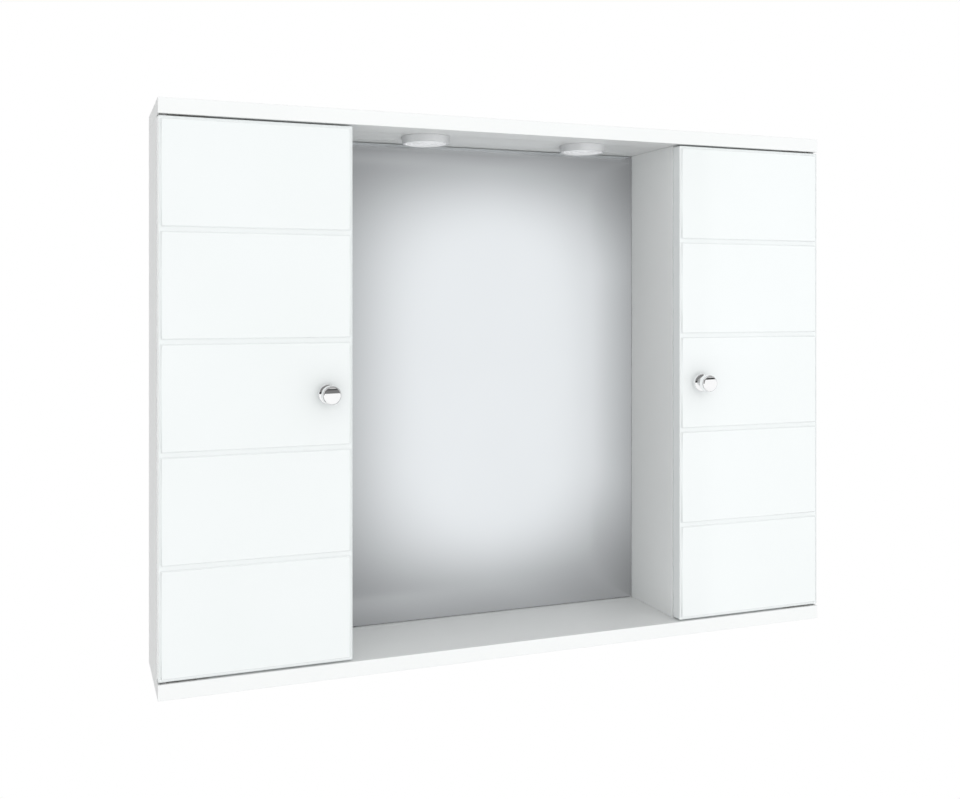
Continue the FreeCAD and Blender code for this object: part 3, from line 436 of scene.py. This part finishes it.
def mathStep(tree, operation, *values):
    step = tree.nodes.new("ShaderNodeMath")
    step.operation = operation
    for socket, value in zip(step.inputs, values):
        feed(tree, socket, value)
    return step.outputs[0]


def addNode(tree, kind, **values):
    item = tree.nodes.new(kind)
    for name, value in values.items():
        item.inputs[name.replace("_", " ")].default_value = value
    return item


def buildScrewTree():
    tree = bpy.data.node_groups.new("screwSet", "GeometryNodeTree")
    tree.interface.new_socket("Geometry", in_out="INPUT", socket_type="NodeSocketGeometry")
    for name in screwLook:
        tree.interface.new_socket(name, in_out="INPUT", socket_type="NodeSocketFloat")
    tree.interface.new_socket("Material", in_out="INPUT", socket_type="NodeSocketMaterial")
    tree.interface.new_socket("Geometry", in_out="OUTPUT", socket_type="NodeSocketGeometry")
    given = tree.nodes.new("NodeGroupInput").outputs
    result = tree.nodes.new("NodeGroupOutput")
    link = tree.links.new
    head = addNode(tree, "GeometryNodeMeshCone", Vertices=screwFacets["head"])
    link(given["Head Radius"], head.inputs["Radius Bottom"])
    link(given["Shank Radius"], head.inputs["Radius Top"])
    link(given["Head Depth"], head.inputs["Depth"])
    bars = tree.nodes.new("GeometryNodeJoinGeometry")
    for first, second in (("X", "Y"), ("Y", "X")):
        bar = tree.nodes.new("GeometryNodeMeshCube")
        size = tree.nodes.new("ShaderNodeCombineXYZ")
        link(given["Recess Span"], size.inputs[first])
        link(given["Recess Width"], size.inputs[second])
        barHeight = mathStep(tree, "MULTIPLY", given["Recess Depth"], 2.0)  # half stands out of the head
        link(barHeight, size.inputs["Z"])
        link(size.outputs[0], bar.inputs["Size"])
        link(bar.outputs["Mesh"], bars.inputs[0])
    recessed = tree.nodes.new("GeometryNodeMeshBoolean")
    recessed.operation = "DIFFERENCE"
    recessed.solver = "EXACT"
    link(head.outputs["Mesh"], recessed.inputs["Mesh 1"])
    link(bars.outputs[0], recessed.inputs["Mesh 2"])
    shankLength = mathStep(tree, "SUBTRACT", given["Length"], given["Head Depth"])
    shank = addNode(tree, "GeometryNodeMeshCone", Vertices=screwFacets["shank"])
    pointRadius = mathStep(tree, "MULTIPLY", given["Shank Radius"], pointShare)
    link(given["Shank Radius"], shank.inputs["Radius Bottom"])
    link(pointRadius, shank.inputs["Radius Top"])
    link(shankLength, shank.inputs["Depth"])
    lift = tree.nodes.new("ShaderNodeCombineXYZ")
    link(given["Head Depth"], lift.inputs["Z"])
    lifted = tree.nodes.new("GeometryNodeTransform")
    link(shank.outputs["Mesh"], lifted.inputs["Geometry"])
    link(lift.outputs[0], lifted.inputs["Translation"])
    screw = tree.nodes.new("GeometryNodeJoinGeometry")
    link(recessed.outputs["Mesh"], screw.inputs[0])
    link(lifted.outputs[0], screw.inputs[0])
    turn = addNode(tree, "GeometryNodeInputNamedAttribute", Name="turn")
    turn.data_type = "FLOAT_VECTOR"
    asRotation = tree.nodes.new("FunctionNodeEulerToRotation")
    link(turn.outputs["Attribute"], asRotation.inputs[0])
    spread = tree.nodes.new("GeometryNodeInstanceOnPoints")
    link(given["Geometry"], spread.inputs["Points"])
    link(screw.outputs[0], spread.inputs["Instance"])
    link(asRotation.outputs[0], spread.inputs["Rotation"])
    realized = tree.nodes.new("GeometryNodeRealizeInstances")
    link(spread.outputs[0], realized.inputs[0])
    coated = tree.nodes.new("GeometryNodeSetMaterial")
    link(realized.outputs[0], coated.inputs["Geometry"])
    link(given["Material"], coated.inputs["Material"])
    link(coated.outputs[0], result.inputs[0])
    return tree


# where each screw of a node has its head, and how it is turned
def screwSpots(node):
    shape = mergedCopy(node)
    waiting = set(shape.verts)
    spots = []
    for start in shape.verts:
        if start not in waiting:
            continue
        waiting.discard(start)
        found = [start]
        for vert in found:
            for edge in vert.link_edges:
                other = edge.other_vert(vert)
                if other in waiting:
                    waiting.discard(other)
                    found.append(other)
        points = [vert.co for vert in found]
        low = Vector(min(point[axis] for point in points) for axis in range(3))
        high = Vector(max(point[axis] for point in points) for axis in range(3))
        middle = (low + high) / 2
        long = max(range(3), key=lambda axis: high[axis] - low[axis])
        widest = max(points, key=lambda point: (point - middle).length_squared
                     - (point[long] - middle[long]) ** 2)
        headAtHigh = widest[long] > middle[long]
        head = middle.copy()
        head[long] = high[long] if headAtHigh else low[long]
        direction = Vector((0, 0, 0))
        direction[long] = -1.0 if headAtHigh else 1.0
        spots.append((head, direction.to_track_quat("Z", "Y").to_euler()))
    shape.free()
    return spots


screwTree = buildScrewTree()
screwInputs = {item.name: item.identifier for item in screwTree.interface.items_tree
               if item.in_out == "INPUT"}
for node, look in screwNodes.items():
    spots = screwSpots(node)
    points = bpy.data.meshes.new(node + "_points")
    points.from_pydata([spot for spot, turn in spots], [], [])
    turns = points.attributes.new("turn", "FLOAT_VECTOR", "POINT")
    for index, (spot, turn) in enumerate(spots):
        turns.data[index].vector = turn[:]
    carrier = bpy.data.objects.new(node + "_points", points)
    bpy.context.scene.collection.objects.link(carrier)
    modifier = carrier.modifiers.new("screws", "NODES")
    modifier.node_group = screwTree
    for name, value in look.items():
        modifier[screwInputs[name]] = value * millimetre
    modifier[screwInputs["Material"]] = finishFor(node)
    bpy.context.view_layer.update()
    ready = carrier.evaluated_get(bpy.context.evaluated_depsgraph_get())
    mesh = bpy.data.meshes.new_from_object(ready)
    bpy.data.objects.remove(carrier)
    standFor(mesh, node, weighted=False)
print("screws set:", len(screwNodes), "rows")

# studio: a pale floor well below the cabinet, soft light mostly from in front, white behind everything;
# ambient is the light's strength in front and behind, turnsAt where it turns, bounced the share left to
# gloss on what it lights, asideTone and asideFrom the grey that polished metal sees to its sides

studioLook = {"floorTone": 0.9, "floorRough": 0.8, "floorSides": 96, "floorDrop": 1.2, "floorReach": 1.2,
              "floorRim": 0.5, "floorGlow": 0.85,
              "ambient": (1.02, 0.16), "turnsAt": 0.15, "bounced": 0.0, "asideTone": 0.24,
              "asideFrom": (-0.35, -0.15)}
lampLooks = {
    "key": {"power": 6.0, "size": 2.0, "place": (-0.3, -2.4, 0.15)},
    "rear": {"power": 21.0, "size": 0.5, "place": (0.0, 1.6, 0.0)},
}
firstBounce = 0.5


def rangeStep(tree, value, given, wanted, smooth=False):
    step = tree.nodes.new("ShaderNodeMapRange")
    step.interpolation_type = "SMOOTHSTEP" if smooth else "LINEAR"
    step.inputs["From Min"].default_value, step.inputs["From Max"].default_value = given
    step.inputs["To Min"].default_value, step.inputs["To Max"].default_value = wanted
    tree.links.new(value, step.inputs["Value"])
    return step.outputs["Result"]


# light that hasn't left a matt surface yet
def notBounced(tree, path):
    return mathStep(tree, "LESS_THAN", path["Diffuse Depth"], firstBounce)


# ambient light is strong in front and weak behind; white shows to the camera, gloss and glass,
# and polished metal sees a grey tone to its sides
def makeWorld(look):
    world = bpy.data.worlds.new("studio")
    bpy.context.scene.world = world
    world.use_nodes = True
    tree = world.node_tree
    tree.nodes.clear()
    path = tree.nodes.new("ShaderNodeLightPath").outputs
    seen = mathStep(tree, "MAXIMUM", path["Is Camera Ray"], path["Is Glossy Ray"])
    seen = mathStep(tree, "MAXIMUM", seen, path["Is Transmission Ray"])
    shown = mathStep(tree, "MULTIPLY", seen, notBounced(tree, path))
    way = tree.nodes.new("ShaderNodeTexCoord")
    parts = tree.nodes.new("ShaderNodeSeparateXYZ")
    tree.links.new(way.outputs["Generated"], parts.inputs[0])
    ambient = rangeStep(tree, parts.outputs["Y"], (-look["turnsAt"], look["turnsAt"]), look["ambient"])
    dimmed = mathStep(tree, "MULTIPLY_ADD", path["Is Glossy Ray"], look["bounced"] - 1.0, 1.0)
    aside = rangeStep(tree, parts.outputs["Y"], look["asideFrom"], (0.0, 1.0))
    polishedAside = mathStep(tree, "MULTIPLY", aside, path["Is Singular Ray"])
    blend = tree.nodes.new("ShaderNodeMixShader")
    tree.links.new(shown, blend.inputs["Fac"])
    levels = (mathStep(tree, "MULTIPLY", ambient, dimmed),
              mathStep(tree, "MULTIPLY_ADD", polishedAside, look["asideTone"] - 1.0, 1.0))
    for index, level in enumerate(levels):
        background = tree.nodes.new("ShaderNodeBackground")
        background.inputs["Color"].default_value = white
        tree.links.new(level, background.inputs["Strength"])
        tree.links.new(background.outputs[0], blend.inputs[1 + index])
    output = tree.nodes.new("ShaderNodeOutputWorld")
    tree.links.new(blend.outputs[0], output.inputs["Surface"])


# the camera sees the floor glow, fully at its rim, so that it ends in the white around it
def makeFloor(look):
    material = bpy.data.materials.new("paleFloor")
    material.use_nodes = True
    tree = material.node_tree
    shader = next(item for item in tree.nodes if item.type == "BSDF_PRINCIPLED")
    tone = look["floorTone"]
    shader.inputs["Base Color"].default_value = (tone, tone, tone, 1.0)
    shader.inputs["Roughness"].default_value = look["floorRough"]
    place = tree.nodes.new("ShaderNodeTexCoord")
    radius = tree.nodes.new("ShaderNodeVectorMath")
    radius.operation = "LENGTH"
    tree.links.new(place.outputs["Object"], radius.inputs[0])
    rim = (look["floorRim"], look["floorReach"])
    glow = rangeStep(tree, radius.outputs["Value"], rim, (look["floorGlow"], 1.0), smooth=True)
    path = tree.nodes.new("ShaderNodeLightPath").outputs
    blend = tree.nodes.new("ShaderNodeMixShader")
    tree.links.new(mathStep(tree, "MULTIPLY", glow, path["Is Camera Ray"]), blend.inputs["Fac"])
    tree.links.new(shader.outputs[0], blend.inputs[1])
    tree.links.new(tree.nodes.new("ShaderNodeEmission").outputs[0], blend.inputs[2])
    output = next(item for item in tree.nodes if item.type == "OUTPUT_MATERIAL")
    tree.links.new(blend.outputs[0], output.inputs["Surface"])
    shape = bmesh.new()
    bmesh.ops.create_circle(shape, cap_ends=True, radius=look["floorReach"], segments=look["floorSides"])
    mesh = bpy.data.meshes.new("floor")
    shape.to_mesh(mesh)
    shape.free()
    mesh.materials.append(material)
    floor = bpy.data.objects.new("floor", mesh)
    floor.location = (0.0, 0.0, cadLow.z - look["floorDrop"])
    bpy.context.scene.collection.objects.link(floor)


def makeLamp(name, look):
    lamp = bpy.data.lights.new(name, "AREA")
    lamp.energy = look["power"]
    lamp.size = look["size"]
    holder = bpy.data.objects.new(name, lamp)
    holder.location = look["place"]
    holder.rotation_euler = (-Vector(look["place"])).to_track_quat("-Z", "Y").to_euler()
    for kind in ("camera", "glossy", "transmission"):
        setattr(holder, "visible_" + kind, False)
    bpy.context.scene.collection.objects.link(holder)


makeWorld(studioLook)
makeFloor(studioLook)
for name, look in lampLooks.items():
    makeLamp(name, look)

# cards that only gloss reflects, each an upright or level rectangle between two opposite corners

# for the polished knobs: a thin dark flag, a grey shade under it, a lighter sail over it and a darker one
# above that; the two nearer bands are thick and dark, for the knobs' bases
flagReach = 2.4
flagPlane = -1.9
bandPlane = -1.88
flagLooks = {
    "flag": {"tone": 0.04, "low": (-flagReach, flagPlane, 0.006), "high": (flagReach, flagPlane, 0.041)},
    "shade": {"tone": 0.20, "low": (-flagReach, flagPlane, -0.10), "high": (0.8, flagPlane, 0.006)},
    "shadeRight": {"tone": 0.06, "low": (0.8, flagPlane, -0.016), "high": (flagReach, flagPlane, 0.006)},
    "sail": {"tone": 0.55, "low": (-flagReach, flagPlane, 0.041), "high": (flagReach, flagPlane, 0.16)},
    "highSail": {"tone": 0.22, "low": (-flagReach, flagPlane, 0.16), "high": (flagReach, flagPlane, 2.2)},
    "leftBaseBand": {"tone": 0.03, "low": (-flagReach, bandPlane, -0.03), "high": (-0.8, bandPlane, 0.30)},
    "rightBaseBand": {"tone": 0.03, "low": (-0.6, bandPlane, -0.03), "high": (-0.08, bandPlane, 0.25)},
}

# for the mirror: a card in front, white in the middle and grey towards a rounded rim, the grey a painted
# shade that the mirror reflects as darker edges; along and up scale the distance from the middle in X and Z,
# and offset keeps the fall to the left and right slow
mirrorShadeLook = {"low": (-0.9, -0.3, -0.9), "high": (0.36, -0.3, 0.9), "middle": (0.125, -0.016),
              "offset": 0.1186, "along": 0.576, "up": 0.80, "power": 4.5, "fade": (0.18, 0.305),
              "tones": (1.0, 0.30)}

# and painted shade in the niche: sheets on its walls, seen from inside only, dark at the back and lighter in
# front, that the mirror reflects;
# along names the axis on which the shade falls, between the two ends, to the share that fall gives
nicheSide = 0.2
nicheShadeDepth = (-0.119, -0.0085)
nicheShadeFront, nicheShadeBack = nicheShadeDepth
nicheShadeTop = 0.2835
underLights = 0.2755
fasciaDepth = -0.034
acrossFall = {"along": "X", "ends": (0.06, nicheSide), "fall": 0.75}
nicheShadeLooks = {
    "ceiling": {"low": (-nicheSide, nicheShadeFront, underLights), "high": (nicheSide, nicheShadeBack, underLights),
                "tones": (0.53, 0.40), **acrossFall},
    "fascia": {"low": (-nicheSide, fasciaDepth, underLights), "high": (nicheSide, fasciaDepth, nicheShadeTop),
               "tones": (0.50, 0.38), **acrossFall},
    "sill": {"low": (nicheSide, nicheShadeFront, -nicheShadeTop), "high": (-nicheSide, nicheShadeBack, -nicheShadeTop),
             "tones": (0.53, 0.40), **acrossFall},
    "jamb": {"low": (nicheSide, nicheShadeFront, -nicheShadeTop), "high": (nicheSide, nicheShadeBack, nicheShadeTop),
             "tones": (0.86, 0.48), "along": "Z", "ends": (0.12, 0.285), "fall": 0.5},
}


def cardTree(name):
    material = bpy.data.materials.new(name)
    material.use_nodes = True
    tree = material.node_tree
    tree.nodes.clear()
    return material, tree, tree.nodes.new("ShaderNodeLightPath").outputs


def placeParts(tree):
    place = tree.nodes.new("ShaderNodeTexCoord")
    parts = tree.nodes.new("ShaderNodeSeparateXYZ")
    tree.links.new(place.outputs["Object"], parts.inputs[0])
    return parts.outputs


def finishCard(material, tree, strength, shown, look):
    glow = tree.nodes.new("ShaderNodeEmission")
    feed(tree, glow.inputs["Strength"], strength)
    blend = tree.nodes.new("ShaderNodeMixShader")
    tree.links.new(shown, blend.inputs["Fac"])
    tree.links.new(tree.nodes.new("ShaderNodeBsdfTransparent").outputs[0], blend.inputs[1])
    tree.links.new(glow.outputs[0], blend.inputs[2])
    output = tree.nodes.new("ShaderNodeOutputMaterial")
    tree.links.new(blend.outputs[0], output.inputs["Surface"])
    low, high = look["low"], look["high"]
    first, second = [axis for axis in range(3) if low[axis] != high[axis]]
    corners = []
    for one, other in ((low, low), (high, low), (high, high), (low, high)):
        corner = list(low)
        corner[first], corner[second] = one[first], other[second]
        corners.append(corner)
    mesh = bpy.data.meshes.new(material.name)
    mesh.from_pydata(corners, [], [(0, 1, 2, 3)])
    mesh.materials.append(material)
    card = bpy.data.objects.new(material.name, mesh)
    for kind in ("camera", "diffuse", "transmission", "shadow", "volume_scatter"):
        setattr(card, "visible_" + kind, False)
    bpy.context.scene.collection.objects.link(card)


# seen in soft gloss only, and not by light that has already left a matt surface
def softlySeen(tree, path):
    soft = mathStep(tree, "SUBTRACT", 1.0, path["Is Singular Ray"])
    return mathStep(tree, "MULTIPLY", soft, notBounced(tree, path))


def makeFlag(name, look):
    material, tree, path = cardTree(name)
    finishCard(material, tree, look["tone"], path["Is Singular Ray"], look)


# painted shade for the mirror: the card's glow falls from white in the middle to grey at its rim
def makeMirrorShadeCard(name, look):
    material, tree, path = cardTree(name)
    parts = placeParts(tree)
    powers = []
    for axis, middle, scale, offset in (("X", look["middle"][0], look["along"], look["offset"]),
                                        ("Z", look["middle"][1], look["up"], 0.0)):
        away = mathStep(tree, "ABSOLUTE", mathStep(tree, "SUBTRACT", parts[axis], middle))
        scaled = mathStep(tree, "MULTIPLY_ADD", away, scale, offset)
        powers.append(mathStep(tree, "POWER", scaled, look["power"]))
    reach = mathStep(tree, "POWER", mathStep(tree, "ADD", *powers), 1.0 / look["power"])
    strength = rangeStep(tree, reach, look["fade"], look["tones"], smooth=True)
    finishCard(material, tree, strength, softlySeen(tree, path), look)


# painted shade of a niche wall as the mirror sees it: darker towards the back, and darker towards the far
# end of its fall
def makeNicheShade(name, look):
    material, tree, path = cardTree(name)
    parts = placeParts(tree)
    depth = rangeStep(tree, parts["Y"], nicheShadeDepth, look["tones"])
    away = mathStep(tree, "ABSOLUTE", parts[look["along"]])
    fall = rangeStep(tree, away, look["ends"], (1.0, look["fall"]), smooth=True)
    tone = mathStep(tree, "MULTIPLY", depth, fall)
    inside = tree.nodes.new("ShaderNodeNewGeometry").outputs["Backfacing"]
    finishCard(material, tree, tone, mathStep(tree, "MULTIPLY", softlySeen(tree, path), inside), look)


for name, look in flagLooks.items():
    makeFlag(name, look)
makeMirrorShadeCard("mirrorShadeCard", mirrorShadeLook)
for name, look in nicheShadeLooks.items():
    makeNicheShade(name, look)
print("studio lit")

# camera: where the photograph was taken from, with its frame's offset

cameraLook = {"place": (-0.4836, -1.1809, 0.0969), "turn": -19.85, "lens": 38.83, "sensor": 36.0,
              "shiftX": 0.0397, "shiftY": -0.1022}
lens = bpy.data.cameras.new("camera")
lens.lens = cameraLook["lens"]
lens.sensor_width = cameraLook["sensor"]
lens.shift_x = cameraLook["shiftX"]
lens.shift_y = cameraLook["shiftY"]
camera = bpy.data.objects.new("camera", lens)
camera.location = cameraLook["place"]
camera.rotation_euler = (math.radians(90), 0.0, math.radians(cameraLook["turn"]))
bpy.context.scene.collection.objects.link(camera)
bpy.context.scene.camera = camera
bpy.context.scene.view_settings.view_transform = "Standard"

print("scene ready")
